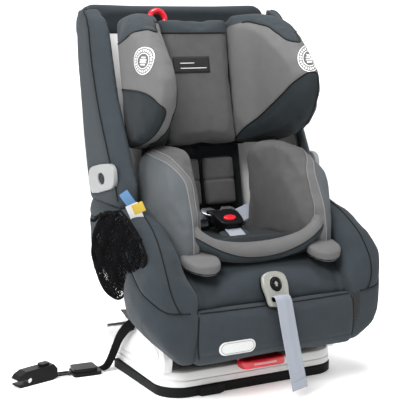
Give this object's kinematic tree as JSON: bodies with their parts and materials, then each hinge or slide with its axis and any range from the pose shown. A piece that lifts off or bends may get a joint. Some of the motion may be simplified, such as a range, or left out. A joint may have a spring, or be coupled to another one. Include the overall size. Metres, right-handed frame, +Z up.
{
  "type": "convertible car seat",
  "caption": "Child car seat: padded shell with side wings and infant insert reclining on a white base, sliding headrest, five-point harness, floor tether with anchor connector.",
  "frame": {"origin": "underside of the base, at the centre of its width, on the floor", "axes": "+Z up, -Y towards the front of the seat, +X towards the seat's left-hand side"},
  "size_m": [0.6399, 0.4504, 0.7044],
  "materials": {
    "shell_white": "satin white moulded plastic",
    "base_white": "satin off-white moulded plastic",
    "rim_black": "matt black rubber",
    "plastic_black": "fine-grained black plastic",
    "fabric_charcoal": "charcoal knitted fabric over foam",
    "fabric_grey": "mid grey knitted fabric",
    "fabric_light": "light grey knitted fabric",
    "webbing_black": "black woven webbing",
    "webbing_silver": "silver grey woven webbing with a slight sheen",
    "red_plastic": "glossy red plastic",
    "bezel_silver": "satin silver-beige plastic",
    "guide_grey": "matt light grey plastic",
    "steel": "plated steel",
    "net_black": "open black net"
  },
  "bodies": {
    "base": {"base_tray": "base_white", "base_rim_pad": "rim_black", "base_tower_left": "base_white", "base_tower_right": "base_white", "recline_rail_left": "plastic_black", "recline_rail_right": "plastic_black", "isofix_bar": "steel", "bar_lug_left": "base_white", "bar_lug_right": "base_white", "tether_strap": "webbing_black", "tether_adjuster": "plastic_black", "tether_link": "plastic_black", "connector_housing": "plastic_black"},
    "recline_release": {"recline_handle": "red_plastic", "recline_link_rod": "steel"},
    "tether_lever": {"tether_lever": "plastic_black"},
    "connector_jaw": {"connector_jaw": "steel"},
    "connector_button": {"connector_button": "plastic_black"},
    "seat": {"seat_shell": "shell_white", "rocker_hull": "plastic_black", "seat_cushion": "fabric_charcoal", "front_panel": "fabric_charcoal", "seat_wing_left": "fabric_charcoal", "seat_wing_right": "fabric_charcoal", "side_panel_left": "fabric_charcoal", "side_panel_right": "fabric_charcoal", "back_wing_left": "fabric_charcoal", "back_wing_right": "fabric_charcoal", "back_top_cover": "fabric_charcoal", "back_pad": "fabric_grey", "belt_guide_left": "guide_grey", "belt_guide_right": "guide_grey", "mesh_pocket": "net_black", "insert_bolster_left": "fabric_grey", "insert_bolster_right": "fabric_grey", "insert_seat_pad": "fabric_grey", "insert_flap_left": "fabric_light", "insert_flap_right": "fabric_light", "shoulder_pad_left": "fabric_grey", "shoulder_pad_right": "fabric_grey", "shoulder_strap_left": "webbing_black", "shoulder_strap_right": "webbing_black", "harness_yoke": "steel", "buckle_housing": "plastic_black", "tongue_left": "steel", "tongue_right": "steel", "crotch_strap": "webbing_silver", "crotch_pad": "fabric_charcoal", "adjuster_bezel": "bezel_silver", "pull_strap": "webbing_silver", "guide_rod_left": "steel", "guide_rod_right": "steel"},
    "buckle_button": {"buckle_button": "red_plastic"},
    "adjuster_button": {"adjuster_button": "plastic_black"},
    "headrest": {"headrest_shell": "plastic_black", "headrest_centre_pad": "fabric_grey", "headrest_wing_left": "fabric_light", "headrest_wing_right": "fabric_light", "headrest_carrier": "plastic_black"},
    "ring_handle": {"headrest_ring_handle": "red_plastic"}
  },
  "joints": [
    {"name": "recline", "type": "hinge", "parent": "base", "child": "seat", "pos_m": [0, 0, 0.42], "axis": [-1, 0, 0], "range_deg": [0, 12]},
    {"name": "recline_release_pull", "type": "slide", "parent": "base", "child": "recline_release", "axis": [0, -1, 0], "range_m": [0, 0.012], "stiffness_N_per_m": 400},
    {"name": "headrest_height", "type": "slide", "parent": "seat", "child": "headrest", "axis": [0, 0.1874, 0.9823], "range_m": [0, 0.12]},
    {"name": "headrest_release_pull", "type": "slide", "parent": "headrest", "child": "ring_handle", "axis": [0, 0.1874, 0.9823], "range_m": [0, 0.008], "stiffness_N_per_m": 300},
    {"name": "buckle_press", "type": "slide", "parent": "seat", "child": "buckle_button", "axis": [0, 0.4067, -0.9135], "range_m": [0, 0.005], "stiffness_N_per_m": 400},
    {"name": "adjuster_press", "type": "slide", "parent": "seat", "child": "adjuster_button", "axis": [0, 0.8829, -0.4695], "range_m": [0, 0.003], "stiffness_N_per_m": 400},
    {"name": "tether_lever_lift", "type": "hinge", "parent": "base", "child": "tether_lever", "pos_m": [-0.27694, 0.08728, 0.011], "axis": [-0.0698, -0.9976, 0], "range_deg": [0, 35], "stiffness_Nm_per_rad": 0.05},
    {"name": "connector_jaw_turn", "type": "hinge", "parent": "base", "child": "connector_jaw", "pos_m": [-0.37192, 0.07371, 0.0096], "axis": [-0.2588, 0.9659, 0], "range_deg": [0, 50], "stiffness_Nm_per_rad": 0.02},
    {"name": "connector_button_slide", "type": "slide", "parent": "base", "child": "connector_button", "axis": [-0.9659, -0.2588, 0], "range_m": [0, 0.0052]}
  ],
  "couplings": [
    {"joint": "connector_button_slide", "follows": "connector_jaw_turn", "m_per_rad": 0.0057}
  ]
}
